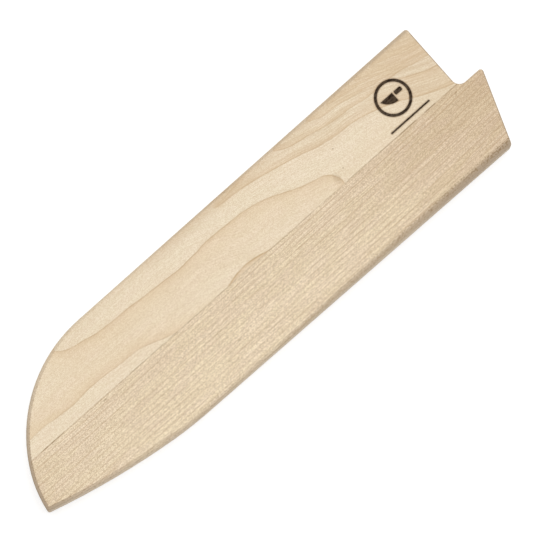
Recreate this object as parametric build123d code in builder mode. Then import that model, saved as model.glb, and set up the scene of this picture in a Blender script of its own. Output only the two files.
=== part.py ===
from build123d import *
import os
from math import cos, radians, sin, tan

os.makedirs("parts", exist_ok=True)

# A wooden guard for a santoku knife, lying on its back face with its front face up.
# The nose points to -X, the mouth that takes the blade to +X, and the spine side to +Y.
# Two boards, each of two edge-glued staves, are glued to the rails and the tip block
# between them, which leave a slot for the blade. Magnets in the back board hold it.
# All lengths are in millimetres and all angles in degrees.

# Overall form
overall_length = 200.0
overall_width = 51.2
board_thickness = 4.2
slot_gap = 2.6

# Mouth end: the horn, on the cutting-edge side, covers the heel of the blade
mouth_setback = 9.7
mouth_lean = 0.6
horn_top_drop = 25.9
end_lean = 21.0
mouth_corner_radius = 1.2
notch_radius = 3.0
horn_radius = 1.0
heel_radius = 1.0

# Nose: two arcs from the straight spine down to the tip corner
nose_length = 48.3
nose_shoulder_back = 3.9
nose_shoulder_rise = 12.4
tip_rise = 11.45
tip_radius = 0.8

# Cutting-edge side: a straight edge, then two arcs up to the tip corner
edge_taper = 0.6
belly_length = 59.4
belly_bend_back = 46.6
belly_bend_drop = 9.3

# Glue joints between the staves, and between the rails and the tip block
seam_drop = 24.4
seam_lean = 0.15
rail_width = 4.0
tip_block_length = 50.0
slot_tip_radius = 2.0

# Rounding of the outer edges, which grows from the nose to the mouth on the long edges
nose_rounding = 1.4
waist_rounding = 1.5
mouth_rounding = 2.4
mouth_easing = 0.35
waist_back = 95.0

# Magnets, set in the inner face of the back board under thin wooden plugs
magnet_names = ("nose", "fore", "aft", "mouth")
magnet_radius = 5.0
magnet_thickness = 2.0
magnet_edge_radius = 0.2
magnet_clearance = 0.1
plug_thickness = 0.8
plug_clearance = 0.05
magnet_drop = 15.0
magnet_pitch = 40.0
mouth_magnet_setback = 21.0

# How far each cut runs past what it cuts
overrun = 5.0

# Levels that follow from the sizes above
half_length = overall_length / 2
spine_y = overall_width / 2
heel_y = -overall_width / 2
thickness = board_thickness + slot_gap + board_thickness
middle_z = thickness / 2
slot_floor_z = board_thickness
slot_roof_z = slot_floor_z + slot_gap
seam_y = spine_y - seam_drop
seam_up = (sin(radians(seam_lean)), cos(radians(seam_lean)))
seam_plane = Plane(origin=(0, seam_y), z_dir=seam_up)
horn_top_y = spine_y - horn_top_drop

# Corners of the mouth end
mouth_x = half_length - mouth_setback
mouth_top = (mouth_x + horn_top_drop * tan(radians(mouth_lean)), spine_y)
notch_corner = (mouth_x, horn_top_y)
half_horn_angle = radians(90 - end_lean) / 2
horn_corner = (half_length + horn_radius * (1 / tan(half_horn_angle) - 1), horn_top_y)
end_run = (horn_top_y - heel_y) * tan(radians(end_lean))
heel_corner = (horn_corner[0] - end_run, heel_y)
past_mouth_x = half_length + overrun

# Corners of the nose and the belly
tip_corner = (-half_length, heel_y + tip_rise)
nose_start = (tip_corner[0] + nose_length, spine_y)
nose_shoulder = (tip_corner[0] + nose_shoulder_back, tip_corner[1] + nose_shoulder_rise)
belly_bend = (tip_corner[0] + belly_bend_back, tip_corner[1] - belly_bend_drop)
belly_start_x = tip_corner[0] + belly_length
rail_joint_x = tip_corner[0] + tip_block_length
waist_x = mouth_x - waist_back


def edge_line_y(x):
    """Height of the straight cutting-edge side at a place along the guard."""
    return heel_y + (heel_corner[0] - x) * tan(radians(edge_taper))


belly_start = (belly_start_x, edge_line_y(belly_start_x))
toward_mouth = Vector(cos(radians(edge_taper)), -sin(radians(edge_taper)))


# Outline of the whole guard with sharp corners, seen from the front
with BuildSketch() as sharp_outline:
    with BuildLine():
        Polyline(nose_start, mouth_top, notch_corner, horn_corner, heel_corner, belly_start)
        lower_belly = TangentArc(belly_start, belly_bend, tangent=-toward_mouth)
        TangentArc(belly_bend, tip_corner, tangent=lower_belly % 1)
        upper_nose = TangentArc(nose_start, nose_shoulder, tangent=(-1, 0))
        TangentArc(nose_shoulder, tip_corner, tangent=upper_nose % 1)
    make_face()

# The same outline with its corners eased
with BuildSketch() as outline:
    add(sharp_outline.sketch)
    for corner, radius in (
        (mouth_top, mouth_corner_radius),
        (notch_corner, notch_radius),
        (horn_corner, horn_radius),
        (heel_corner, heel_radius),
        (tip_corner, tip_radius),
    ):
        fillet(outline.vertices().sort_by_distance(corner)[0], radius)


def whole_board(rounding):
    """The front board before it is divided, with one small rounding all round its face."""
    with BuildPart() as board:
        with BuildSketch(Plane.XY.offset(slot_roof_z)):
            add(outline.sketch)
        extrude(amount=board_thickness)
        fillet(board.edges().group_by(Axis.Z)[-1], rounding)
    return board.part


def cove(frame, inner, radius):
    """Section of the cutter that rounds a long edge; inner is the frame's side with wood."""
    center = (-radius, -radius) if inner == Align.MAX else (radius, -radius)
    outer = Align.MIN if inner == Align.MAX else Align.MAX
    with BuildSketch(frame) as section:
        with Locations(center):
            Rectangle(radius + overrun, radius + overrun, align=(outer, Align.MIN))
            Circle(radius, mode=Mode.SUBTRACT)
    return section.sketch


def front_stave(frame, inner, keep):
    """One stave of the front board. The frame stands across the straight part of its long
    outer edge, level with the face, at the place where that edge's rounding starts to grow."""
    bar_length = past_mouth_x - frame.origin.X
    waist_along = waist_x - frame.origin.X
    growth = (mouth_rounding - waist_rounding) / waist_back
    end_rounding = waist_rounding + growth * (bar_length - waist_along)
    with BuildPart() as bar:
        with BuildSketch(frame):
            Rectangle(overall_width, board_thickness, align=(inner, Align.MAX))
        extrude(amount=bar_length)
        loft(
            sections=[
                cove(frame, inner, nose_rounding),
                cove(frame.offset(waist_along), inner, waist_rounding),
                cove(frame.offset(bar_length), inner, end_rounding),
            ],
            ruled=True,
            mode=Mode.SUBTRACT,
        )
        add(whole_board(mouth_easing), mode=Mode.INTERSECT)
    with BuildPart() as stave:
        add(whole_board(nose_rounding))
        split(bisect_by=frame, keep=Keep.BOTTOM)
        add(bar.part)
        split(bisect_by=seam_plane, keep=keep)
    return stave.part


# Upper and lower stave of the front board
spine_frame = Plane(origin=(belly_start_x, spine_y, thickness), x_dir=(0, 1, 0), z_dir=(1, 0, 0))
with BuildPart() as front_spine_stave:
    add(front_stave(spine_frame, Align.MAX, Keep.TOP))

edge_frame = Plane(
    origin=(*belly_start, thickness),
    x_dir=toward_mouth.rotate(Axis.Z, 90),
    z_dir=toward_mouth,
)
with BuildPart() as front_edge_stave:
    add(front_stave(edge_frame, Align.MIN, Keep.BOTTOM))

# The back board mirrors the front one, and its spine stave has blind pockets for the magnets
pocket_radius = magnet_radius + magnet_clearance
pocket_depth = magnet_thickness + plug_thickness
pocket_floor_z = slot_floor_z - pocket_depth
magnet_y = spine_y - magnet_drop
mouth_magnet_x = mouth_x - mouth_magnet_setback
magnet_places = [
    (mouth_magnet_x - magnet_pitch * steps_back, magnet_y)
    for steps_back in reversed(range(len(magnet_names)))
]

with BuildPart() as back_spine_stave:
    add(front_spine_stave.part)
    mirror(about=Plane.XY.offset(middle_z), mode=Mode.REPLACE)
    with BuildSketch(Plane.XY.offset(slot_floor_z)):
        with Locations(*magnet_places):
            Circle(pocket_radius)
    extrude(amount=-pocket_depth, mode=Mode.SUBTRACT)

with BuildPart() as back_edge_stave:
    add(front_edge_stave.part)
    mirror(about=Plane.XY.offset(middle_z), mode=Mode.REPLACE)

# Frame between the boards, open at the mouth, the horn and the slanted end
opening_top_y = spine_y - rail_width
opening_rise = rail_width / cos(radians(edge_taper))
with BuildSketch() as blade_space:
    offset(sharp_outline.sketch, amount=-rail_width)
    fillet(blade_space.vertices().sort_by_distance(tip_corner)[0], slot_tip_radius)
    with BuildLine():
        Polyline(
            (waist_x, opening_top_y),
            (past_mouth_x, opening_top_y),
            (past_mouth_x, edge_line_y(past_mouth_x) + opening_rise),
            (waist_x, edge_line_y(waist_x) + opening_rise),
            close=True,
        )
    make_face()
with BuildSketch(Plane.XY.offset(slot_floor_z)) as spacer_frame:
    add(outline.sketch)
    add(blade_space.sketch, mode=Mode.SUBTRACT)

with BuildPart() as tip_block:
    add(spacer_frame.sketch)
    extrude(amount=slot_gap)
    split(bisect_by=Plane.YZ.offset(rail_joint_x), keep=Keep.BOTTOM)

with BuildPart() as spine_rail:
    add(spacer_frame.sketch)
    extrude(amount=slot_gap)
    split(bisect_by=Plane.YZ.offset(rail_joint_x), keep=Keep.TOP)
    split(bisect_by=seam_plane, keep=Keep.TOP)

with BuildPart() as edge_rail:
    add(spacer_frame.sketch)
    extrude(amount=slot_gap)
    split(bisect_by=Plane.YZ.offset(rail_joint_x), keep=Keep.TOP)
    split(bisect_by=seam_plane, keep=Keep.BOTTOM)

wooden_pieces = {
    "front_spine_stave": front_spine_stave,
    "front_edge_stave": front_edge_stave,
    "back_spine_stave": back_spine_stave,
    "back_edge_stave": back_edge_stave,
    "spine_rail": spine_rail,
    "edge_rail": edge_rail,
    "tip_block": tip_block,
}
for name, piece in wooden_pieces.items():
    piece.part.label = name
    export_step(piece.part, f"parts/{name}.step")

# Disc magnets on the pocket floors, each under its plug, which is flush with the slot's wall
for name, place in zip(magnet_names, magnet_places):
    with BuildPart() as magnet:
        with BuildSketch(Plane.XY.offset(pocket_floor_z)):
            with Locations(place):
                Circle(magnet_radius)
        extrude(amount=magnet_thickness)
        fillet(magnet.edges(), magnet_edge_radius)
    magnet.part.label = f"magnet_{name}"
    export_step(magnet.part, f"parts/magnet_{name}.step")

    with BuildPart() as plug:
        with BuildSketch(Plane.XY.offset(pocket_floor_z + magnet_thickness)):
            with Locations(place):
                Circle(pocket_radius - plug_clearance)
        extrude(amount=plug_thickness)
    plug.part.label = f"plug_{name}"
    export_step(plug.part, f"parts/plug_{name}.step")
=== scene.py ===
from math import cos, pi, radians, sin, tan

import bmesh
import bpy
from bpy.props import BoolProperty, FloatProperty, FloatVectorProperty, PointerProperty
from mathutils import Matrix, Vector

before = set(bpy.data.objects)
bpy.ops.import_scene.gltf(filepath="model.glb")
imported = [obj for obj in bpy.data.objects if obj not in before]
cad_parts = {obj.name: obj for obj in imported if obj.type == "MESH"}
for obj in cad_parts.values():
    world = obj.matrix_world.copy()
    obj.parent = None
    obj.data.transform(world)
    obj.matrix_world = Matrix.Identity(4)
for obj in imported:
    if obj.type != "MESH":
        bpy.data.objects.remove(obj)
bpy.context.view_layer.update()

# A wooden guard for a kitchen knife, lying on its back face on a pale floor.
# The model's solids keep their shapes. This file gives each its wood or its metal.
# Objects are in metres. Inside the materials every length is in millimetres.

bl_info = {
    "name": "Knife blade guard",
    "version": (1, 0, 0),
    "blender": (4, 5, 0),
    "location": "3D View > Sidebar > Blade guard",
    "description": "Finishes the staves, core, plugs and magnets of a wooden knife blade guard",
    "category": "Object",
}

# Millimetres in a metre
MM = 1000.0

# The solids in millimetres: the height of the front face and the thickness of a board, where
# the seam crosses the middle of the guard and how it leans, and the same for the cutting-edge
# side
FACE_HEIGHT = 11.0
BOARD_THICKNESS = 4.2
SEAM_HEIGHT = 1.2
SEAM_LEAN = radians(0.15)
EDGE_LEVEL = -24.65
EDGE_SLOPE = tan(radians(0.6))

# The growth lines of a quarter-sawn stave: their spacing, and their place across the stave
RING_SPACING = 1.5
RING_SHIFT = 9.2

# How a finish changes along the guard, as (x, share): how dark the rounded edges and sides are on the
# cutting-edge side and along the spine, darkened partly for handling wear and partly as painted shade,
# and how dark the seam is. Then, how much darker the faces are made along the spine, towards the
# mouth and at the nose.
EDGE_WEAR_AND_SHADE = (
    (-100, 1), (-92, 0.75), (-80, 0.45), (-45, 0.27), (-15, 0.3), (20, 0.5), (50, 0.7), (75, 1),
    (100, 1),
)
SPINE_WEAR_AND_SHADE = (
    (-100, 1), (-95, 0.95), (-90, 0.75), (-72, 0.42), (-55, 0.26), (-40, 0.2), (0, 0.35),
    (40, 0.35), (80, 0.55), (100, 0.6),
)
SEAM_DARKNESS = (
    (-100, 0.5), (-86, 0.9), (-74, 0.4), (-60, 0.5), (-40, 0.4), (10, 0.4), (50, 0.55),
    (70, 0.75), (90, 0.85),
)
SPINE_SHADE = ((-100, 0.1), (-40, 0.2), (-15, 0.4), (0, 0.5), (12, 0.45), (30, 0.28), (100, 0.25))
MOUTH_TONE = ((-100, 0), (10, 0.01), (35, 0.18), (50, 0.42), (65, 0.78), (80, 0.97), (101, 1))
NOSE_SHADE = ((-100, 0.28), (-90, 0.17), (-75, 0.1), (-55, 0), (100, 0))

# Growth lines of the front spine stave, as (x, y) on its face. Each is sharp on one side and
# fades on the other: above it, or below it where soft is -1. A turn, as (y, x), closes a line
# round its end. A line shows from start to end, and the fine streaks run along the flow line.
FRONT_LINES = {
    "long line": dict(
        soft=-1, width=0.36, fade=0.8, reach=7.0, strength=0.9,
        points=((-71.4, 27.4), (-65.5, 24), (-63.7, 22.6), (-62.2, 21.4), (-59, 20.1),
                (-55.4, 19.5), (-52.7, 18.8), (-49.9, 18.2), (-44.4, 17.8), (-37.2, 17.6),
                (-31.8, 17.1), (-26.3, 16.6), (-19.9, 16.2), (-16.4, 16), (-11, 16.3),
                (-8.3, 16.4), (-5.6, 16.8), (-1.2, 16.8), (3.4, 16.6), (7, 16.4), (10.7, 16.2),
                (14.3, 15.6), (17.9, 14.8), (21.6, 13.6), (24.3, 12.4), (27, 11.2), (29.8, 10),
                (33.3, 8.8), (36.3, 8), (38.3, 7.5), (39.8, 6.6), (41.3, 5.7), (44.3, 4.2),
                (50.2, -1.4), (60.3, -9.3)),
        turn=((-3.4, 41.2), (1.1, 41.9), (2.1, 42.1), (3.1, 42), (4.1, 41.7), (5.1, 41.3),
              (6, 41.2), (7, 41.7), (8.5, 44.2), (10.5, 50), (14.5, 63.7), (24.3, 89.2)),
    ),
    "low line": dict(
        soft=1, width=0.36, fade=0.9, reach=6.0, strength=0.65,
        points=((-99.1, 6.5), (-87.8, 7), (-82.4, 7.1), (-78.7, 6.6), (-74.2, 6.2), (-69.6, 6.1),
                (-65.2, 6.5), (-60.7, 6.6), (-55.2, 6.2), (-49.7, 5.7), (-44.3, 5.5), (-41.6, 4.9),
                (-38.8, 4), (-36.1, 3), (-33.3, 2.1), (-30.6, 1.3), (-24.1, -1.4), (0.9, -9.3)),
    ),
    "arch on the seam": dict(
        soft=-1, width=0.5, fade=1.4, reach=2.0, strength=1.1,
        points=((-28.9, -9.4), (-11.2, 0), (-7.1, 1.5), (-4.5, 2.2), (-0.9, 2.7), (1, 2.7),
                (4.6, 2.3), (8.2, 1.4), (12.6, 0), (30.7, -9.3)),
    ),
    "falling line": dict(
        flow=True, soft=1, width=0.38, fade=1.0, reach=1.8, strength=0.85, start=4, end=110,
        points=((-11.8, 30.3), (1.2, 25.9), (4.4, 23.8), (6.9, 22.9), (13.2, 22.5), (18.6, 21.7),
                (24.1, 20.7), (29.6, 19.5), (33.1, 18.7), (36, 18), (38.5, 17.4), (41, 16.6),
                (44, 15.7), (47, 15.1), (49.9, 14.7), (52.9, 14.5), (55.8, 14.4), (58.3, 14),
                (60.8, 13.4), (63.8, 12.7), (65.8, 12.1), (69.8, 10.7), (74.8, 8.4), (78.8, 6.3),
                (81.3, 5.2), (84.2, 3.9), (87.2, 2.8), (89.7, 2), (95.7, -0.4)),
    ),
    "branch": dict(
        soft=-1, width=0.35, fade=0.5, reach=1.2, strength=0.6, start=4, end=24,
        points=((0.2, 23.4), (5.1, 23.4), (8.7, 23.4), (11.4, 23.7), (15.9, 24.2), (22, 24.7),
                (30, 25)),
    ),
    "second falling line": dict(
        soft=1, width=0.36, fade=0.9, reach=1.6, strength=0.72, start=30, end=110,
        points=((21.9, 32.3), (27.9, 26.8), (31.4, 24.6), (33, 23.6), (35, 22.6), (37, 21.8),
                (39.9, 21.2), (42.9, 20.7), (45.9, 20.1), (48.8, 19.4), (51.8, 18.8), (54.8, 18.5),
                (57.7, 18.4), (60.7, 18), (63.7, 17.5), (65.7, 17.2), (72.6, 17), (79.5, 16.6),
                (82.5, 15.9), (85.5, 15.1), (89.4, 14.5), (95.4, 13.5)),
    ),
    "third falling line": dict(
        soft=1, width=0.35, fade=0.9, reach=3.0, strength=0.5,
        points=((33.8, 30.3), (39.8, 26.3), (43.8, 24.9), (47.7, 23.5), (51.2, 22.2), (54.7, 21.7),
                (58.6, 21.4), (62.6, 20.6), (65.6, 20), (69.1, 19.3), (72.5, 18.6), (75.5, 18.1),
                (78.5, 17.6), (89.4, 15.8), (95.3, 15)),
    ),
    "fourth falling line": dict(
        soft=1, width=0.35, fade=0.8, reach=3.0, strength=0.5,
        points=((45.7, 30.3), (51.6, 25.3), (55.6, 23.8), (59.6, 23), (63.6, 22.4), (67, 21.9),
                (70, 21.3), (73.5, 20.3), (76.5, 19.4), (79.5, 18.5), (83.4, 17.6), (89.4, 16.6),
                (95.3, 15.8)),
    ),
    "fifth falling line": dict(
        soft=1, width=0.35, fade=0.7, reach=3.0, strength=0.48,
        points=((57.5, 30.3), (63.5, 25.3), (70, 22.8), (73.5, 21.7), (77.4, 20.3), (81.4, 19.6),
                (89.3, 18.1), (95.3, 17.4)),
    ),
    "sixth falling line": dict(
        soft=1, width=0.35, fade=0.7, reach=3.0, strength=0.48,
        points=((63.4, 30.3), (69.4, 25.8), (75.4, 23.5), (79.9, 22.1), (83.9, 20.9), (89.3, 19.6),
                (95.3, 18.4)),
    ),
    "mouth line": dict(
        soft=-1, width=0.42, fade=0.9, reach=3.0, strength=0.75, start=77, end=100,
        points=((69.6, 18.4), (77.6, 14.7), (80.6, 13.4), (82.6, 12.5), (84.6, 11.5), (86.1, 10.8),
                (88, 10.3), (89.5, 10), (95.5, 9.5)),
    ),
}

# Growth lines of the back spine stave, cut from another place in the same plank
BACK_LINES = {
    "long line": dict(
        flow=True, soft=-1, width=0.45, fade=1.1, reach=5.0, strength=0.95,
        points=((-100, 13), (-84, 12.4), (-66, 13.6), (-48, 15.8), (-30, 17), (-12, 16.6),
                (4, 14.2), (18, 11.6), (34, 10.4), (52, 11.2), (70, 12.8), (96, 13.6)),
    ),
    "high line": dict(
        soft=-1, width=0.4, fade=1.2, reach=5.0, strength=0.8,
        points=((-70, 27), (-52, 21.4), (-34, 20.6), (-14, 21), (4, 19.6), (20, 17.2), (38, 15.8),
                (56, 16.4), (72, 18), (96, 19.4)),
    ),
    "low line": dict(
        soft=1, width=0.4, fade=1.2, reach=5.0, strength=0.8,
        points=((-100, 2.4), (-80, 3.4), (-62, 5.2), (-44, 6), (-26, 4.6), (-12, 1.6), (-2, -2),
                (40, -4), (58, 1.2), (72, 3.8), (96, 4.6)),
    ),
    "edge line": dict(
        soft=1, width=0.35, fade=0.9, reach=3.0, strength=0.55,
        points=((-60, 27), (-20, 24), (10, 23.2), (36, 21.4), (60, 21.8), (80, 23), (96, 24.4)),
    ),
}

# Small dark flecks on the front: x, y, half length, half width and strength
FRONT_FLECKS = (
    (46.7, 12.0, 0.25, 0.2, 0.7), (45.0, 5.2, 0.25, 0.25, 0.6), (41.3, 3.9, 1.1, 1.9, 0.22),
)
EDGE_FLECKS = (
    (-62.3, 0.4, 0.9, 0.35, 0.5), (-17.2, -14.1, 0.9, 0.3, 0.45), (88.6, -0.9, 0.5, 0.25, 0.5),
)


def srgb(red, green, blue):
    """A colour as it shows on screen, each channel 0 to 255, in Blender's linear light."""
    shares = [channel / 255 for channel in (red, green, blue)]
    return (*[s / 12.92 if s <= 0.04045 else ((s + 0.055) / 1.055) ** 2.4 for s in shares], 1.0)


class GuardWood(bpy.types.PropertyGroup):
    """Colours and finish of the maple."""

    pale: FloatVectorProperty(
        name="Pale wood", description="Early wood of the flat-sawn staves",
        subtype="COLOR", size=4, min=0, max=1, default=srgb(242, 229, 204),
    )
    warm: FloatVectorProperty(
        name="Warm wood", description="Wood that leads up to a growth line",
        subtype="COLOR", size=4, min=0, max=1, default=srgb(234, 211, 177),
    )
    line: FloatVectorProperty(
        name="Growth line", description="The late wood of a growth line",
        subtype="COLOR", size=4, min=0, max=1, default=srgb(196, 168, 132),
    )
    straight: FloatVectorProperty(
        name="Straight grain", description="Quarter-sawn staves at the nose",
        subtype="COLOR", size=4, min=0, max=1, default=srgb(255, 239, 208),
    )
    straight_mouth: FloatVectorProperty(
        name="Straight grain at the mouth", description="Quarter-sawn staves at the mouth",
        subtype="COLOR", size=4, min=0, max=1, default=srgb(236, 216, 184),
    )
    fleck: FloatVectorProperty(
        name="Ray fleck", description="The rays and pores that speckle the wood",
        subtype="COLOR", size=4, min=0, max=1, default=srgb(192, 163, 130),
    )
    glue: FloatVectorProperty(
        name="Glue line", description="The joints between the staves and boards",
        subtype="COLOR", size=4, min=0, max=1, default=srgb(146, 120, 88),
    )
    blush: FloatVectorProperty(
        name="Blush", description="The pinkish patches that drift through the wood",
        subtype="COLOR", size=4, min=0, max=1, default=srgb(252, 228, 217),
    )
    # Painted shade as well as handling wear: the rounded edges and sides take this darker colour where
    # they turn from the light, and end grain takes a share of it
    edge_wear_and_shade: FloatVectorProperty(
        name="Worn and shaded edge", description="The rounded edges and the sides, darker from handling wear and painted shade",
        subtype="COLOR", size=4, min=0, max=1, default=srgb(184, 165, 142),
    )
    roughness: FloatProperty(
        name="Roughness", description="How matt the sanded, oiled wood is",
        subtype="FACTOR", min=0, max=1, default=0.64,
    )


class GuardMark(bpy.types.PropertyGroup):
    """The plain burned mark: a knife in a ring, over a short rule."""

    shown: BoolProperty(name="Burned mark", description="Burn the mark into the front", default=True)
    centre: FloatVectorProperty(
        name="Centre", description="Middle of the ring on the front face",
        subtype="TRANSLATION", unit="LENGTH", size=2, default=(0.0723, 0.0114),
    )
    ring_radius: FloatProperty(
        name="Ring radius", description="To the middle of the ring's line",
        subtype="DISTANCE", unit="LENGTH", min=0.002, max=0.01, default=0.00575,
    )
    line_width: FloatProperty(
        name="Line width", description="Width of the ring's line",
        subtype="DISTANCE", unit="LENGTH", min=0.0002, max=0.003, default=0.001,
    )
    rule_length: FloatProperty(
        name="Rule length", description="Length of the rule under the ring",
        subtype="DISTANCE", unit="LENGTH", min=0.001, max=0.03, default=0.0165,
    )
    rule_drop: FloatProperty(
        name="Rule drop", description="From the ring's middle down to the rule",
        subtype="DISTANCE", unit="LENGTH", min=0.006, max=0.01, default=0.0084,
    )
    colour: FloatVectorProperty(
        name="Burn", description="The scorched wood of the mark",
        subtype="COLOR", size=4, min=0, max=1, default=srgb(33, 18, 6),
    )


class GuardMetal(bpy.types.PropertyGroup):
    """The plating of the magnets."""

    plate: FloatVectorProperty(
        name="Plating", description="Nickel plating of the magnets",
        subtype="COLOR", size=4, min=0, max=1, default=srgb(201, 198, 190),
    )
    roughness: FloatProperty(
        name="Roughness", description="How dull the plating is",
        subtype="FACTOR", min=0, max=1, default=0.28,
    )


class GuardStage(bpy.types.PropertyGroup):
    """Floor, light and camera."""

    floor_width: FloatProperty(
        name="Floor width", description="Side of the square floor",
        subtype="DISTANCE", unit="LENGTH", min=0.5, default=12.0,
    )
    floor: FloatVectorProperty(
        name="Floor", description="Colour of the floor",
        subtype="COLOR", size=4, min=0, max=1, default=srgb(248, 247, 245),
    )
    key: FloatProperty(
        name="Key light", description="Share of full light that comes from the key light",
        subtype="FACTOR", min=0, max=2, default=0.51,
    )
    sky: FloatProperty(
        name="Surround", description="Share of full light that comes from all round",
        subtype="FACTOR", min=0, max=2, default=0.55,
    )
    target: FloatVectorProperty(
        name="Camera target", description="The point that the camera looks at",
        subtype="TRANSLATION", unit="LENGTH", size=3, default=(0.00558, -0.00243, 0.0055),
    )
    distance: FloatProperty(
        name="Camera distance", description="From the target to the camera",
        subtype="DISTANCE", unit="LENGTH", min=0.2, default=2.0,
    )
    tilt: FloatProperty(
        name="Camera tilt", description="From straight above towards the nose and cutting edge",
        subtype="ANGLE", unit="ROTATION", default=radians(5.5),
    )
    turn: FloatProperty(
        name="Guard turn", description="How far the guard's length is turned in the picture",
        subtype="ANGLE", unit="ROTATION", default=radians(41.846),
    )
    lens: FloatProperty(
        name="Lens", description="Focal length in millimetres on a 36 mm sensor",
        min=20, default=415.05,
    )


# Small tools for the node trees


def node(tree, kind, inputs=(), **settings):
    """A new node with its settings, and with its inputs set to values or linked to sockets."""
    made = tree.nodes.new(kind)
    made.location = (190 * (len(tree.nodes) % 14), -220 * (len(tree.nodes) // 14))
    for name, value in settings.items():
        setattr(made, name, value)
    for key, value in inputs.items() if isinstance(inputs, dict) else enumerate(inputs):
        if isinstance(value, bpy.types.NodeSocket):
            tree.links.new(value, made.inputs[key])
        else:
            made.inputs[key].default_value = value
    return made


def calc(tree, operation, *values):
    """One step of arithmetic."""
    return node(tree, "ShaderNodeMath", values, operation=operation).outputs[0]


def blend(tree, first, first_share, second, second_share):
    """The sum of two values, each times its share."""
    both = [calc(tree, "MULTIPLY", *pair) for pair in ((first, first_share), (second, second_share))]
    return calc(tree, "ADD", *both)


def ease(tree, value, start, end, low=0.0, high=1.0):
    """From low, where value is start, smoothly to high, where it is end."""
    inputs = (value, start, end, low, high)
    return node(tree, "ShaderNodeMapRange", inputs, interpolation_type="SMOOTHSTEP").outputs[0]


def stretched(tree, place, sizes, detail=2.0, roughness=0.5, warp=0.0):
    """Noise from 0 to 1 whose blotches are as long as sizes along X, Y and Z."""
    rates = tuple(1 / size for size in sizes)
    scaled = node(tree, "ShaderNodeVectorMath", (place, rates), operation="MULTIPLY").outputs[0]
    inputs = {
        "Vector": scaled, "Scale": 1.0, "Detail": detail, "Roughness": roughness,
        "Distortion": warp,
    }
    return node(tree, "ShaderNodeTexNoise", inputs).outputs[0]


def fading(tree, distance, reach):
    """1 at no distance, and about a third at the distance reach."""
    share = calc(tree, "DIVIDE", distance, calc(tree, "MULTIPLY", reach, -1.0))
    return calc(tree, "EXPONENT", share)


def paint(tree, mask, under, over):
    """The colour under, covered with the colour over where mask is 1."""
    inputs = {0: mask, 6: under, 7: over}
    return node(tree, "ShaderNodeMix", inputs, data_type="RGBA").outputs[2]


def tinge(tree, mask, share, under, over):
    """The colour under, covered with a share of the colour over where mask is 1."""
    return paint(tree, calc(tree, "MULTIPLY", mask, share), under, over)


def drawn(tree, along, points):
    """A drawn curve: the second value of points, where along has the first."""
    first, last = points[0][0], points[-1][0]
    low = min(value for _, value in points)
    high = max(value for _, value in points)
    share = node(tree, "ShaderNodeMapRange", (along, first, last, 0.0, 1.0)).outputs[0]
    curve = node(tree, "ShaderNodeFloatCurve", {1: share})
    spots = [((x - first) / (last - first), (y - low) / (high - low)) for x, y in points]
    line = curve.mapping.curves[0].points
    line[0].location = spots[0]
    line[1].location = spots[-1]
    for spot in spots[1:-1]:
        line.new(*spot)
    curve.mapping.update()
    return node(tree, "ShaderNodeMapRange", (curve.outputs[0], 0.0, 1.0, low, high)).outputs[0]


def effect(name, takes, gives, wire):
    """A node group that several materials share, built the first time one asks for it."""
    if name in bpy.data.node_groups:
        return bpy.data.node_groups[name]
    tree = bpy.data.node_groups.new(name, "ShaderNodeTree")
    for socket, value in takes.items():
        kind = "NodeSocketVector" if isinstance(value, tuple) else "NodeSocketFloat"
        made = tree.interface.new_socket(socket, in_out="INPUT", socket_type=kind)
        made.default_value = value
    for socket in gives:
        tree.interface.new_socket(socket, in_out="OUTPUT", socket_type="NodeSocketFloat")
    given = node(tree, "NodeGroupInput").outputs
    node(tree, "NodeGroupOutput", dict(zip(gives, wire(tree, given))))
    return tree


def use(tree, group, **inputs):
    """The outputs of a shared group, placed in this tree with its own inputs."""
    named = {name.capitalize(): value for name, value in inputs.items()}
    return node(tree, "ShaderNodeGroup", named, node_tree=group).outputs


# Effects that the woods share


def growth_line():
    """A growth line: dark at its sharp side, fading on the other into warmer wood."""

    def wire(tree, given):
        distance, width = given["Distance"], given["Width"]
        off = calc(tree, "ABSOLUTE", distance)
        core = ease(tree, off, 0.0, width, 1.0, 0.0)
        past = calc(tree, "MAXIMUM", distance, 0.0)
        half = calc(tree, "MULTIPLY", width, 0.6)
        side = ease(tree, distance, calc(tree, "MULTIPLY", half, -1.0), half)
        soft = fading(tree, past, given["Fade"])
        far = fading(tree, past, given["Reach"])
        shaded = calc(tree, "MULTIPLY", calc(tree, "MULTIPLY", side, soft), 0.5)
        line = calc(tree, "MULTIPLY", calc(tree, "MAXIMUM", core, shaded), given["Strength"])
        return line, calc(tree, "MULTIPLY", side, far)

    takes = {"Distance": 0.0, "Width": 0.4, "Fade": 1.0, "Reach": 5.0, "Strength": 1.0}
    return effect("Growth line", takes, ("Line", "Tint"), wire)


def fibre_grain():
    """Thin streaks along the stave, a fine speckle, and the slow drift of its colour."""

    def wire(tree, given):
        place = given["Place"]
        streak = stretched(tree, place, (13.0, 0.21, 0.21), 2.0, 0.5)
        drift = stretched(tree, place, (40.0, 9.0, 9.0), 2.0, 0.5)
        speckle = stretched(tree, place, (0.34, 0.3, 0.3), 1.0, 0.7)
        blush = stretched(tree, place, (9.0, 3.0, 3.0), 2.0, 0.5)
        return (
            ease(tree, streak, 0.34, 0.66),
            ease(tree, drift, 0.3, 0.7),
            ease(tree, speckle, 0.38, 0.62),
            ease(tree, blush, 0.4, 0.62),
        )

    takes = {"Place": (0.0, 0.0, 0.0)}
    return effect("Fibre grain", takes, ("Streak", "Drift", "Speckle", "Blush"), wire)


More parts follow.
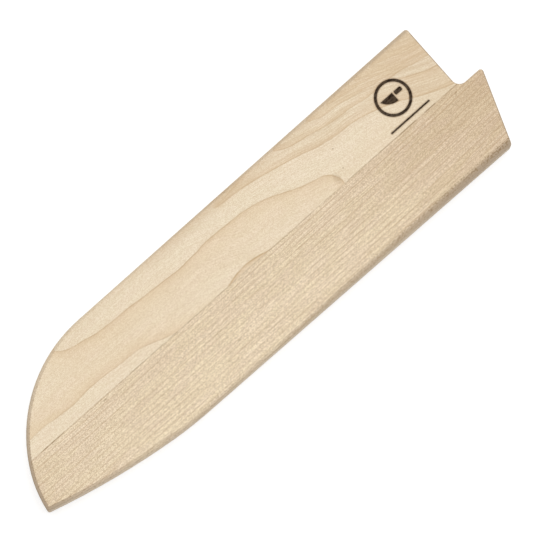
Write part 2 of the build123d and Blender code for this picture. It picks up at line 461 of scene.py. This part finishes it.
def ray_figure():
    """The rays: a lace of short flecks on a quartered face, small dark dashes on a flat one, and
    the dark ends that show on a rounded edge."""

    def wire(tree, given):
        place = given["Place"]
        lace = stretched(tree, place, (0.95, 0.36, 0.5), 2.0, 0.62, 0.3)
        dashes = stretched(tree, place, (0.75, 0.3, 0.3), 0.0, 0.5)
        patches = stretched(tree, place, (9.0, 2.2, 2.2), 2.0, 0.5)
        ends = stretched(tree, place, (0.7, 0.5, 0.5), 1.0, 0.6)
        patchy = ease(tree, patches, 0.35, 0.6, 0.35, 1.0)
        return (
            ease(tree, lace, 0.36, 0.68),
            calc(tree, "MULTIPLY", ease(tree, dashes, 0.63, 0.74), patchy),
            ease(tree, ends, 0.52, 0.6),
        )

    return effect("Ray figure", {"Place": (0.0, 0.0, 0.0)}, ("Lace", "Dashes", "Ends"), wire)


def shaped_faces():
    """Where the wood is a rounded edge or a side, how dark it is made there, partly as handling wear
    and partly as painted shade where it turns from the light, the upper rim of a rounded edge, and end
    grain.
    The spine's edge is darkened less, and more gently."""

    def wire(tree, given):
        facing = node(tree, "ShaderNodeSeparateXYZ", (given["Facing"],)).outputs
        x, y, _ = node(tree, "ShaderNodeSeparateXYZ", (given["Place"],)).outputs
        up = calc(tree, "ABSOLUTE", facing[2])
        spine = calc(tree, "GREATER_THAN", facing[1], 0.0)
        gentle = calc(tree, "MULTIPLY", spine, ease(tree, x, -75.0, -35.0))
        least = calc(tree, "MULTIPLY_ADD", gentle, -0.2, 0.965)
        # Painted shade with handling wear: a face takes more of the darker edge colour the further it
        # turns from the front
        side = ease(tree, up, least, 0.9998, 1.0, 0.0)
        edge_side = drawn(tree, x, EDGE_WEAR_AND_SHADE)
        spine_more = calc(tree, "SUBTRACT", drawn(tree, x, SPINE_WEAR_AND_SHADE), edge_side)
        wear_and_shade = calc(tree, "MULTIPLY_ADD", spine, spine_more, edge_side)
        worn_and_shaded = calc(tree, "MULTIPLY", side, ease(tree, up, 0.0, 0.6, 0.55, 1.0))
        above = ease(tree, up, 0.984, 0.9995, 1.0, 0.0)
        rim = calc(tree, "MULTIPLY", ease(tree, up, 0.86, 0.95), above)

        # Along the straight cutting-edge side a strip of the face is darkened as well, partly as
        # handling wear and partly as painted shade
        from_edge = calc(tree, "MULTIPLY_ADD", x, EDGE_SLOPE, calc(tree, "SUBTRACT", y, EDGE_LEVEL))
        past = calc(tree, "SUBTRACT", from_edge, ease(tree, x, -20.0, 80.0, 1.3, 2.6))
        worn_and_shaded = calc(tree, "MAXIMUM", worn_and_shaded, ease(tree, past, -0.5, 0.3, 0.32, 0.0))
        inner = ease(tree, past, -0.2, 0.15, 1.0, 0.0)
        strip = calc(tree, "MULTIPLY", ease(tree, past, -2.1, -1.5), inner)
        rim = calc(tree, "MULTIPLY", calc(tree, "MAXIMUM", rim, strip), wear_and_shade)
        rim = calc(tree, "MULTIPLY", rim, calc(tree, "SUBTRACT", 1.0, gentle))
        end = ease(tree, calc(tree, "ABSOLUTE", facing[0]), 0.25, 0.8)
        return side, calc(tree, "MULTIPLY", worn_and_shaded, wear_and_shade), rim, end

    takes = {"Place": (0.0, 0.0, 0.0), "Facing": (0.0, 0.0, 1.0)}
    return effect("Shaped faces", takes, ("Side", "Worn and shaded", "Rim", "End"), wire)


def glue_joints():
    """The joints that show outside: between the two staves, and on the sides between the layers."""

    def wire(tree, given):
        axes = node(tree, "ShaderNodeSeparateXYZ", (given["Place"],)).outputs
        lean = calc(tree, "MULTIPLY", axes[0], tan(SEAM_LEAN))
        seam = calc(tree, "SUBTRACT", calc(tree, "ADD", axes[1], lean), SEAM_HEIGHT)
        seam_mask = ease(tree, calc(tree, "ABSOLUTE", seam), 0.06, 0.32, 1.0, 0.0)
        middle = calc(tree, "ABSOLUTE", calc(tree, "SUBTRACT", axes[2], FACE_HEIGHT / 2))
        half_gap = FACE_HEIGHT / 2 - BOARD_THICKNESS
        layer = calc(tree, "ABSOLUTE", calc(tree, "SUBTRACT", middle, half_gap))
        layer_mask = ease(tree, layer, 0.03, 0.12, 0.8, 0.0)
        uneven = stretched(tree, given["Place"], (4.0, 3.0, 3.0), 3.0, 0.65)
        return (
            calc(tree, "MULTIPLY", seam_mask, ease(tree, uneven, 0.36, 0.62, 0.2, 1.0)),
            calc(tree, "MULTIPLY", layer_mask, ease(tree, uneven, 0.3, 0.62, 0.5, 1.0)),
        )

    return effect("Glue joints", {"Place": (0.0, 0.0, 0.0)}, ("Seam", "Layer"), wire)


def end_grain():
    """Pores and rays where the wood is cut across."""

    def wire(tree, given):
        pores = stretched(tree, given["Place"], (1.2, 0.16, 0.16), 1.0, 0.5)
        rays = stretched(tree, given["Place"], (1.2, 0.3, 1.6), 2.0, 0.5)
        dots = ease(tree, pores, 0.55, 0.7)
        return (calc(tree, "MAXIMUM", dots, ease(tree, rays, 0.52, 0.72, 0.0, 0.7)),)

    return effect("End grain", {"Place": (0.0, 0.0, 0.0)}, ("Pores",), wire)


# Woods


def start_material(name):
    """An empty material with its shader, and its places in millimetres."""
    material = bpy.data.materials.new(name)
    material.use_nodes = True
    tree = material.node_tree
    tree.nodes.clear()
    shader = node(tree, "ShaderNodeBsdfPrincipled", {"Specular IOR Level": 0.12})
    node(tree, "ShaderNodeOutputMaterial", {"Surface": shader.outputs[0]})
    where = node(tree, "ShaderNodeTexCoord").outputs
    place = node(
        tree, "ShaderNodeVectorMath", {0: where["Object"], 3: MM}, operation="SCALE"
    ).outputs[0]
    return material, tree, shader, place, where["Normal"]


def shifted(tree, place, amount):
    """The same places, moved so that another board's grain differs."""
    return node(tree, "ShaderNodeVectorMath", (place, amount), operation="ADD").outputs[0]


def wander(tree, place, lengths, amount):
    """A slow sideways drift that keeps drawn lines from looking ruled."""
    noise = stretched(tree, place, lengths, 3.0, 0.55)
    return calc(tree, "MULTIPLY", calc(tree, "SUBTRACT", noise, 0.5), amount)


def finish_wood(tree, shader, wood, place, facing, colour, height):
    """What every wooden piece gets last: handled edges darkened partly with painted shade, end grain,
    glue joints and relief.
    """
    faces = use(tree, shaped_faces(), place=place, facing=facing)
    joints = use(tree, glue_joints(), place=place)
    pores = use(tree, end_grain(), place=place)["Pores"]
    rays = use(tree, ray_figure(), place=place)

    # Rounded edges and sides: darker, partly from handling wear and partly as painted shade where they
    # turn from the light, with the rays' ends as small dark specks
    colour = paint(tree, faces["Worn and shaded"], colour, tuple(wood.edge_wear_and_shade))
    specks = calc(tree, "MULTIPLY", calc(tree, "MULTIPLY", rays["Dashes"], faces["Side"]), 0.4)
    rim_shade = calc(tree, "MULTIPLY_ADD", rays["Ends"], 0.66, 0.14)
    rim_specks = calc(tree, "MULTIPLY", faces["Rim"], rim_shade)
    colour = paint(tree, calc(tree, "MAXIMUM", specks, rim_specks), colour, tuple(wood.glue))
    ends = calc(tree, "MULTIPLY", calc(tree, "MULTIPLY", pores, faces["End"]), 0.6)
    colour = tinge(tree, faces["End"], 0.35, colour, tuple(wood.edge_wear_and_shade))
    colour = paint(tree, ends, colour, tuple(wood.glue))
    layers = calc(tree, "MULTIPLY", joints["Layer"], faces["Side"])
    colour = paint(tree, layers, colour, tuple(wood.glue))

    polish = calc(tree, "MULTIPLY", faces["Side"], -0.08)
    grainy = ease(tree, height, 0.0, 1.0, wood.roughness - 0.05, wood.roughness + 0.06)
    rough = calc(tree, "ADD", polish, grainy)
    bump = node(tree, "ShaderNodeBump", {"Strength": 0.35, "Distance": 0.00006, "Height": height})
    tree.links.new(colour, shader.inputs["Base Color"])
    tree.links.new(rough, shader.inputs["Roughness"])
    tree.links.new(bump.outputs[0], shader.inputs["Normal"])


def flat_sawn(name, wood, lines, flecks, face_height, rise, offset):
    """Maple cut along its growth rings: a few long drawn lines with warm wood beside them."""
    material, tree, shader, place, facing = start_material(name)
    grain_place = shifted(tree, place, offset)
    axes = node(tree, "ShaderNodeSeparateXYZ", (place,)).outputs
    depth = calc(tree, "SUBTRACT", axes[2], face_height)
    sink = calc(tree, "MULTIPLY", depth, rise)
    waver = wander(tree, grain_place, (5.0, 2.0, 2.0), 0.4)
    across = calc(tree, "ADD", calc(tree, "ADD", axes[1], sink), waver)

    line_mask, tint_mask = None, None
    for line in lines.values():
        ridge = drawn(tree, axes[0], line["points"])
        order = (across, ridge) if line["soft"] > 0 else (ridge, across)
        distance = calc(tree, "SUBTRACT", *order)
        if "turn" in line:
            bend = calc(tree, "SUBTRACT", drawn(tree, across, line["turn"]), axes[0])
            distance = calc(tree, "SMOOTH_MIN", distance, bend, 2.2)
        made = use(
            tree, growth_line(), distance=distance, width=line["width"], fade=line["fade"],
            reach=line["reach"], strength=line["strength"],
        )
        shade, tint = made["Line"], made["Tint"]
        if "start" in line:
            here = ease(tree, axes[0], line["start"], line["start"] + 3)
            gone = ease(tree, axes[0], line["end"] - 3, line["end"], 1.0, 0.0)
            here = calc(tree, "MULTIPLY", here, gone)
            shade, tint = calc(tree, "MULTIPLY", shade, here), calc(tree, "MULTIPLY", tint, here)
        line_mask = shade if line_mask is None else calc(tree, "MAXIMUM", line_mask, shade)
        tint_mask = tint if tint_mask is None else calc(tree, "MAXIMUM", tint_mask, tint)

    # Fine streaks run along the flow line, and crowd between it and the spine at the mouth
    flow = next(line for line in lines.values() if "flow" in line)
    above = calc(tree, "SUBTRACT", across, drawn(tree, axes[0], flow["points"]))
    along_flow = node(tree, "ShaderNodeCombineXYZ", (axes[0], above, axes[2])).outputs[0]
    grain = use(tree, fibre_grain(), place=shifted(tree, along_flow, offset))
    crowded = calc(tree, "MULTIPLY", ease(tree, above, -3.0, 2.0), ease(tree, axes[0], 0.0, 50.0))
    streak = calc(tree, "MULTIPLY", grain["Streak"], calc(tree, "MULTIPLY_ADD", crowded, 0.25, 0.2))

    rays = use(tree, ray_figure(), place=grain_place)
    patchy = ease(tree, stretched(tree, grain_place, (9.0, 1.2, 1.2), 3.0, 0.7), 0.32, 0.66, 0.5, 1.0)
    colour = tinge(tree, tint_mask, 0.68, tuple(wood.pale), tuple(wood.warm))
    colour = tinge(tree, grain["Drift"], 0.16, colour, tuple(wood.warm))
    colour = tinge(tree, grain["Blush"], 0.1, colour, tuple(wood.blush))
    colour = paint(tree, streak, colour, tuple(wood.line))
    colour = tinge(tree, grain["Speckle"], 0.38, colour, tuple(wood.line))
    colour = tinge(tree, rays["Dashes"], 0.14, colour, tuple(wood.fleck))
    colour = paint(tree, calc(tree, "MULTIPLY", line_mask, patchy), colour, tuple(wood.line))
    colour = paint(tree, ease(tree, axes[0], 66.0, 90.0, 0.0, 0.2), colour, tuple(wood.line))
    edge = calc(tree, "MULTIPLY", drawn(tree, axes[0], SPINE_SHADE), ease(tree, axes[1], 20.5, 25.6))
    colour = paint(tree, edge, colour, tuple(wood.line))
    height = blend(tree, grain["Speckle"], 0.6, line_mask, 0.4)
    colour = small_flecks(tree, wood, axes, flecks, colour)
    colour = seam_shade(tree, wood, place, axes, colour)
    finish_wood(tree, shader, wood, place, facing, colour, height)
    return material


def small_flecks(tree, wood, axes, flecks, colour):
    """Small dark ovals, such as a pin knot."""
    for x, y, half_length, half_width, strength in flecks:
        along = calc(tree, "DIVIDE", calc(tree, "SUBTRACT", axes[0], x), half_length)
        across = calc(tree, "DIVIDE", calc(tree, "SUBTRACT", axes[1], y), half_width)
        squares = calc(tree, "ADD", calc(tree, "POWER", along, 2.0), calc(tree, "POWER", across, 2.0))
        colour = paint(tree, ease(tree, squares, 0.2, 1.6, strength, 0.0), colour, tuple(wood.glue))
    return colour


def seam_shade(tree, wood, place, axes, colour):
    """The joint between the two staves of a board: darkest near the nose and at the mouth."""
    seam = use(tree, glue_joints(), place=place)["Seam"]
    seam = calc(tree, "MULTIPLY", seam, drawn(tree, axes[0], SEAM_DARKNESS))
    return paint(tree, seam, colour, tuple(wood.glue))


def quarter_sawn(name, wood, flecks, offset):
    """Maple cut across its growth rings: fine straight lines under a lace of ray fleck."""
    material, tree, shader, place, facing = start_material(name)
    grain_place = shifted(tree, place, offset)
    axes = node(tree, "ShaderNodeSeparateXYZ", (place,)).outputs
    grain_axes = node(tree, "ShaderNodeSeparateXYZ", (grain_place,)).outputs

    # A thin growth line every millimetre and a half. Towards the mouth they bend up.
    past_middle = calc(tree, "MAXIMUM", calc(tree, "SUBTRACT", axes[0], 45.0), 0.0)
    bend = calc(tree, "MULTIPLY", calc(tree, "POWER", past_middle, 2.0), 0.0005)
    waver = wander(tree, grain_place, (40.0, 3.0, 3.0), 1.3)
    level = calc(tree, "SUBTRACT", calc(tree, "ADD", grain_axes[1], waver), bend)
    shifted_level = calc(tree, "ADD", level, RING_SHIFT)
    turns = calc(tree, "COSINE", calc(tree, "MULTIPLY", shifted_level, 2 * pi / RING_SPACING))
    rings = calc(tree, "POWER", calc(tree, "MULTIPLY_ADD", turns, 0.5, 0.5), 9.0)
    gaps = stretched(tree, grain_place, (22.0, 0.9, 0.9), 4.0, 0.7)
    rings = calc(tree, "MULTIPLY", rings, ease(tree, gaps, 0.34, 0.62, 0.25, 1.0))

    grain = use(tree, fibre_grain(), place=grain_place)
    rays = use(tree, ray_figure(), place=grain_place)
    mouth = drawn(tree, axes[0], MOUTH_TONE)
    colour = paint(tree, mouth, tuple(wood.straight), tuple(wood.straight_mouth))
    colour = paint(tree, ease(tree, axes[0], 82.0, 100.0, 0.0, 0.15), colour, tuple(wood.fleck))
    nose = drawn(tree, axes[0], NOSE_SHADE)
    shade = calc(tree, "MAXIMUM", nose, ease(tree, axes[1], -14.0, -7.0, 0.0, 0.11))
    colour = paint(tree, shade, colour, tuple(wood.fleck))
    colour = tinge(tree, grain["Drift"], 0.05, colour, tuple(wood.fleck))
    colour = tinge(tree, grain["Blush"], 0.17, colour, tuple(wood.blush))
    clear = ease(tree, axes[0], -40.0, 80.0)
    streak = calc(tree, "MULTIPLY", grain["Streak"], calc(tree, "MULTIPLY_ADD", clear, 0.12, 0.3))
    colour = paint(tree, streak, colour, tuple(wood.fleck))
    colour = tinge(tree, grain["Speckle"], 0.42, colour, tuple(wood.glue))
    colour = tinge(tree, rays["Lace"], 0.07, colour, tuple(wood.fleck))
    line = calc(tree, "MULTIPLY", rings, calc(tree, "MULTIPLY_ADD", clear, 0.12, 0.58))
    colour = paint(tree, line, colour, tuple(wood.fleck))
    colour = tinge(tree, rays["Dashes"], 0.2, colour, tuple(wood.glue))
    height = blend(tree, rays["Lace"], 0.7, rings, 0.3)
    colour = small_flecks(tree, wood, axes, flecks, colour)
    colour = seam_shade(tree, wood, place, axes, colour)
    finish_wood(tree, shader, wood, place, facing, colour, height)
    return material


def plain_sawn(name, wood, offset, tone):
    """Plain straight maple for the pieces inside."""
    material, tree, shader, place, facing = start_material(name)
    grain_place = shifted(tree, place, offset)
    grain = use(tree, fibre_grain(), place=grain_place)
    rays = use(tree, ray_figure(), place=grain_place)
    colour = tinge(tree, grain["Drift"], tone, tuple(wood.pale), tuple(wood.warm))
    colour = tinge(tree, grain["Streak"], 0.35, colour, tuple(wood.line))
    colour = tinge(tree, rays["Lace"], 0.16, colour, tuple(wood.fleck))
    height = blend(tree, grain["Speckle"], 0.6, rays["Lace"], 0.4)
    finish_wood(tree, shader, wood, place, facing, colour, height)
    return material


# The burned mark


def burn(material, mark):
    """Burns a ring, a knife inside it and a rule below it into the front of a wood."""
    tree = material.node_tree
    shader = next(n for n in tree.nodes if n.type == "BSDF_PRINCIPLED")
    where = node(tree, "ShaderNodeTexCoord").outputs
    centre = (-mark.centre[0] * MM, -mark.centre[1] * MM, 0.0)
    scaled = {0: where["Object"], 3: MM}
    place = node(tree, "ShaderNodeVectorMath", scaled, operation="SCALE").outputs[0]
    ragged = wander(tree, place, (0.5, 0.5, 0.5), 0.22)
    axes = node(tree, "ShaderNodeSeparateXYZ", (shifted(tree, place, centre),)).outputs
    x, y = axes[0], axes[1]
    level = calc(tree, "GREATER_THAN", axes[2], FACE_HEIGHT - 0.05)

    def length(a, b):
        squares = [calc(tree, "POWER", side, 2.0) for side in (a, b)]
        return calc(tree, "SQRT", calc(tree, "ADD", *squares))

    def slab(value, middle, half, corner=0.0):
        off = calc(tree, "ABSOLUTE", calc(tree, "SUBTRACT", value, middle))
        return calc(tree, "SUBTRACT", off, half - corner)

    def bar(middle_x, middle_y, half_x, half_y, corner):
        past_x = calc(tree, "MAXIMUM", slab(x, middle_x, half_x, corner), 0.0)
        past_y = calc(tree, "MAXIMUM", slab(y, middle_y, half_y, corner), 0.0)
        return calc(tree, "SUBTRACT", length(past_x, past_y), corner)

    radius, half_line = mark.ring_radius * MM, mark.line_width * MM / 2
    ring = slab(length(x, y), radius, half_line)
    from_middle = length(calc(tree, "SUBTRACT", x, 0.75), calc(tree, "SUBTRACT", y, 3.6))
    belly = calc(tree, "SUBTRACT", from_middle, 5.4)
    spine = calc(tree, "SUBTRACT", y, 1.5)
    heel = calc(tree, "SUBTRACT", x, 0.8)
    blade = calc(tree, "MAXIMUM", calc(tree, "MAXIMUM", belly, spine), heel)
    handle = bar(2.75, 0.75, 1.45, 0.75, 0.5)
    rule = bar(0.0, -mark.rule_drop * MM, mark.rule_length * MM / 2, 0.3, 0.25)
    knife = calc(tree, "MINIMUM", blade, handle)
    outside = calc(tree, "MINIMUM", calc(tree, "MINIMUM", ring, knife), rule)
    outside = calc(tree, "ADD", outside, ragged)

    scorched = calc(tree, "MULTIPLY", ease(tree, outside, -0.12, 0.1, 1.0, 0.0), level)
    halo = calc(tree, "MULTIPLY", ease(tree, outside, -0.1, 0.55, 0.5, 0.0), level)
    blotch = ease(tree, stretched(tree, place, (1.6, 0.7, 0.7), 3.0, 0.6), 0.35, 0.7, 0.86, 1.0)

    wood_colour = shader.inputs["Base Color"].links[0].from_socket
    browned = paint(tree, halo, wood_colour, srgb(122, 86, 50))
    marked = paint(tree, calc(tree, "MULTIPLY", scorched, blotch), browned, tuple(mark.colour))
    tree.links.new(marked, shader.inputs["Base Color"])
    wood_rough = shader.inputs["Roughness"].links[0].from_socket
    rougher = calc(tree, "MULTIPLY_ADD", scorched, 0.2, wood_rough)
    tree.links.new(rougher, shader.inputs["Roughness"])
    wood_normal = shader.inputs["Normal"].links[0].from_socket
    sunk = calc(tree, "MULTIPLY", scorched, -1.0)
    pressed = node(
        tree, "ShaderNodeBump",
        {"Strength": 0.5, "Distance": 0.0001, "Height": sunk, "Normal": wood_normal},
    )
    tree.links.new(pressed.outputs[0], shader.inputs["Normal"])


def nickel_plate(metal):
    """Bright plating with fine turning marks and a few dull patches."""
    material, tree, shader, place, _ = start_material("Nickel plate")
    patches = ease(tree, stretched(tree, place, (3.0, 3.0, 3.0), 4.0, 0.6), 0.3, 0.7)
    scratches = ease(tree, stretched(tree, place, (4.0, 0.12, 0.12), 2.0, 0.6), 0.45, 0.75)
    dull = tuple(channel * 0.8 for channel in metal.plate[:3]) + (1.0,)
    colour = tinge(tree, patches, 0.5, tuple(metal.plate), dull)
    rough = ease(tree, scratches, 0.0, 1.0, metal.roughness - 0.06, metal.roughness + 0.12)
    bump = node(tree, "ShaderNodeBump", {"Strength": 0.2, "Distance": 0.00002, "Height": scratches})
    shader.inputs["Metallic"].default_value = 1.0
    tree.links.new(colour, shader.inputs["Base Color"])
    tree.links.new(rough, shader.inputs["Roughness"])
    tree.links.new(bump.outputs[0], shader.inputs["Normal"])
    return material


def dress(names, material):
    """Gives a material to the named solids of the model."""
    for name in names:
        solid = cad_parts[name]
        for slot in solid.material_slots:
            slot.material = material


# Operators


class GUARD_OT_spine_staves(bpy.types.Operator):
    """Finishes the two flat-sawn staves on the spine side, and burns the mark into the front one"""

    bl_idname = "guard.spine_staves"
    bl_label = "Spine staves"

    def execute(self, context):
        wood, mark = context.scene.guard_wood, context.scene.guard_mark
        front = flat_sawn(
            "Front flat-sawn maple", wood, FRONT_LINES, FRONT_FLECKS,
            face_height=FACE_HEIGHT, rise=2.6, offset=(0.0, 0.0, 0.0),
        )
        back = flat_sawn(
            "Back flat-sawn maple", wood, BACK_LINES, (),
            face_height=0.0, rise=-2.2, offset=(310.0, 90.0, 40.0),
        )
        if mark.shown:
            burn(front, mark)
        dress(("front_spine_stave",), front)
        dress(("back_spine_stave",), back)
        return {"FINISHED"}


class GUARD_OT_edge_staves(bpy.types.Operator):
    """Finishes the two quarter-sawn staves on the cutting-edge side"""

    bl_idname = "guard.edge_staves"
    bl_label = "Edge staves"

    def execute(self, context):
        wood = context.scene.guard_wood
        front = quarter_sawn("Front quarter-sawn maple", wood, EDGE_FLECKS, (0.0, 0.0, 0.0))
        back = quarter_sawn("Back quarter-sawn maple", wood, (), (170.0, 0.7, 60.0))
        dress(("front_edge_stave",), front)
        dress(("back_edge_stave",), back)
        return {"FINISHED"}


class GUARD_OT_core(bpy.types.Operator):
    """Finishes the rails and the tip block between the boards"""

    bl_idname = "guard.core"
    bl_label = "Rails and tip block"

    def execute(self, context):
        wood = context.scene.guard_wood
        rails = plain_sawn("Rail maple", wood, (60.0, 25.0, 10.0), 0.4)
        block = plain_sawn("Tip block maple", wood, (-90.0, 33.0, 20.0), 0.7)
        dress(("spine_rail", "edge_rail"), rails)
        dress(("tip_block",), block)
        return {"FINISHED"}


class GUARD_OT_plugs(bpy.types.Operator):
    """Finishes the thin plugs over the magnets"""

    bl_idname = "guard.plugs"
    bl_label = "Magnet plugs"

    def execute(self, context):
        wood = context.scene.guard_wood
        plugs = ("plug_nose", "plug_fore", "plug_aft", "plug_mouth")
        for number, plug in enumerate(plugs):
            offset = (55.0 * number, 17.0 * number, 5.0)
            dress((plug,), plain_sawn(f"Plug maple {number + 1}", wood, offset, 0.5))
        return {"FINISHED"}


class GUARD_OT_magnets(bpy.types.Operator):
    """Finishes the nickel-plated magnets"""

    bl_idname = "guard.magnets"
    bl_label = "Magnets"

    def execute(self, context):
        magnets = ("magnet_nose", "magnet_fore", "magnet_aft", "magnet_mouth")
        dress(magnets, nickel_plate(context.scene.guard_metal))
        return {"FINISHED"}


class GUARD_OT_stage(bpy.types.Operator):
    """Sets up the pale floor, the soft light and the camera"""

    bl_idname = "guard.stage"
    bl_label = "Floor, light and camera"

    def execute(self, context):
        stage = context.scene.guard_stage
        add_floor(stage)
        add_lights(context.scene, stage)
        add_camera(context.scene, stage)
        context.scene.view_settings.view_transform = "Standard"
        return {"FINISHED"}


def add_floor(stage):
    """A plain floor that shows white and keeps the guard's soft shadow, and is open from below."""
    material = bpy.data.materials.new("Pale floor")
    material.use_nodes = True
    tree = material.node_tree
    tree.nodes.clear()
    rays = node(tree, "ShaderNodeLightPath").outputs
    seen = calc(tree, "MAXIMUM", rays["Is Camera Ray"], rays["Is Glossy Ray"])
    seen = calc(tree, "MAXIMUM", seen, rays["Is Transmission Ray"])
    place = node(tree, "ShaderNodeTexCoord").outputs["Object"]
    grain = stretched(tree, place, (0.02, 0.02, 0.02), 3.0)
    tone = paint(tree, grain, tuple(stage.floor), srgb(244, 243, 241))
    matt = node(tree, "ShaderNodeBsdfDiffuse", {"Color": tone}).outputs[0]
    glow = node(tree, "ShaderNodeEmission", {"Color": (1, 1, 1, 1), "Strength": 0.68}).outputs[0]
    soft = node(tree, "ShaderNodeBsdfDiffuse", {"Color": (0.46, 0.46, 0.46, 1)}).outputs[0]
    white = node(tree, "ShaderNodeAddShader", (glow, soft)).outputs[0]
    clear = node(tree, "ShaderNodeBsdfTransparent").outputs[0]
    shown = node(tree, "ShaderNodeMixShader", (seen, matt, white)).outputs[0]
    under = node(tree, "ShaderNodeNewGeometry").outputs["Backfacing"]
    whole = node(tree, "ShaderNodeMixShader", (under, shown, clear)).outputs[0]
    node(tree, "ShaderNodeOutputMaterial", {"Surface": whole})

    mesh = bpy.data.meshes.new("floor")
    shape = bmesh.new()
    bmesh.ops.create_grid(shape, x_segments=1, y_segments=1, size=stage.floor_width / 2)
    shape.to_mesh(mesh)
    shape.free()
    mesh.materials.append(material)
    floor = bpy.data.objects.new("floor", mesh)
    bpy.context.scene.collection.objects.link(floor)


def add_lights(scene, stage):
    """A broad key light from above and behind the camera, and even light from all round."""
    lamp = bpy.data.lights.new("key", "SUN")
    lamp.energy = stage.key * 3.1416
    lamp.angle = radians(50)
    light = bpy.data.objects.new("key", lamp)
    light.rotation_mode = "QUATERNION"
    light.rotation_quaternion = Vector((0.3, 0.12, 1.0)).to_track_quat("Z", "Y")
    scene.collection.objects.link(light)

    world = bpy.data.worlds.new("surround")
    world.use_nodes = True
    tree = world.node_tree
    tree.nodes.clear()
    rays = node(tree, "ShaderNodeLightPath").outputs
    seen = calc(tree, "MAXIMUM", rays["Is Camera Ray"], rays["Is Transmission Ray"])
    lit, white = [
        node(tree, "ShaderNodeBackground", {"Color": (1, 1, 1, 1), "Strength": strength}).outputs[0]
        for strength in (stage.sky, 1.0)
    ]
    both = node(tree, "ShaderNodeMixShader", (seen, lit, white)).outputs[0]
    node(tree, "ShaderNodeOutputWorld", {"Surface": both})
    scene.world = world


def add_camera(scene, stage):
    """A long lens over the guard, tilted towards its nose and cutting edge, with its nose low left."""
    lens = bpy.data.cameras.new("camera")
    lens.lens = stage.lens
    lens.sensor_width = 36.0
    lens.clip_start = 0.05
    lens.clip_end = 50.0
    camera = bpy.data.objects.new("camera", lens)
    side = radians(270) - stage.turn
    back = Vector((sin(stage.tilt) * cos(side), sin(stage.tilt) * sin(side), cos(stage.tilt)))
    right = Vector((cos(-stage.turn), sin(-stage.turn), 0.0))
    up = back.cross(right)
    place = Vector(stage.target) + back * stage.distance
    camera.matrix_world = Matrix((right, up, back)).transposed().to_4x4()
    camera.matrix_world.translation = place
    scene.collection.objects.link(camera)
    scene.camera = camera


class GUARD_PT_sidebar(bpy.types.Panel):
    """Lists the guard's steps and settings in the sidebar"""

    bl_label = "Blade guard"
    bl_idname = "GUARD_PT_sidebar"
    bl_space_type = "VIEW_3D"
    bl_region_type = "UI"
    bl_category = "Blade guard"

    def draw(self, context):
        for step in OPERATORS:
            self.layout.operator(step.bl_idname)
        for name in SETTINGS:
            box = self.layout.box()
            group = getattr(context.scene, name)
            for value in group.bl_rna.properties:
                if value.identifier not in ("rna_type", "name"):
                    box.prop(group, value.identifier)


SETTINGS = {
    "guard_wood": GuardWood,
    "guard_mark": GuardMark,
    "guard_metal": GuardMetal,
    "guard_stage": GuardStage,
}
OPERATORS = (
    GUARD_OT_spine_staves,
    GUARD_OT_edge_staves,
    GUARD_OT_core,
    GUARD_OT_plugs,
    GUARD_OT_magnets,
    GUARD_OT_stage,
)


def register():
    for group in (*SETTINGS.values(), *OPERATORS, GUARD_PT_sidebar):
        bpy.utils.register_class(group)
    for name, group in SETTINGS.items():
        setattr(bpy.types.Scene, name, PointerProperty(type=group))


def unregister():
    for name in SETTINGS:
        delattr(bpy.types.Scene, name)
    for group in (GUARD_PT_sidebar, *OPERATORS, *SETTINGS.values()):
        bpy.utils.unregister_class(group)


def main():
    register()
    bpy.ops.guard.spine_staves()
    bpy.ops.guard.edge_staves()
    bpy.ops.guard.core()
    bpy.ops.guard.plugs()
    bpy.ops.guard.magnets()
    bpy.ops.guard.stage()


if __name__ == "__main__":
    main()
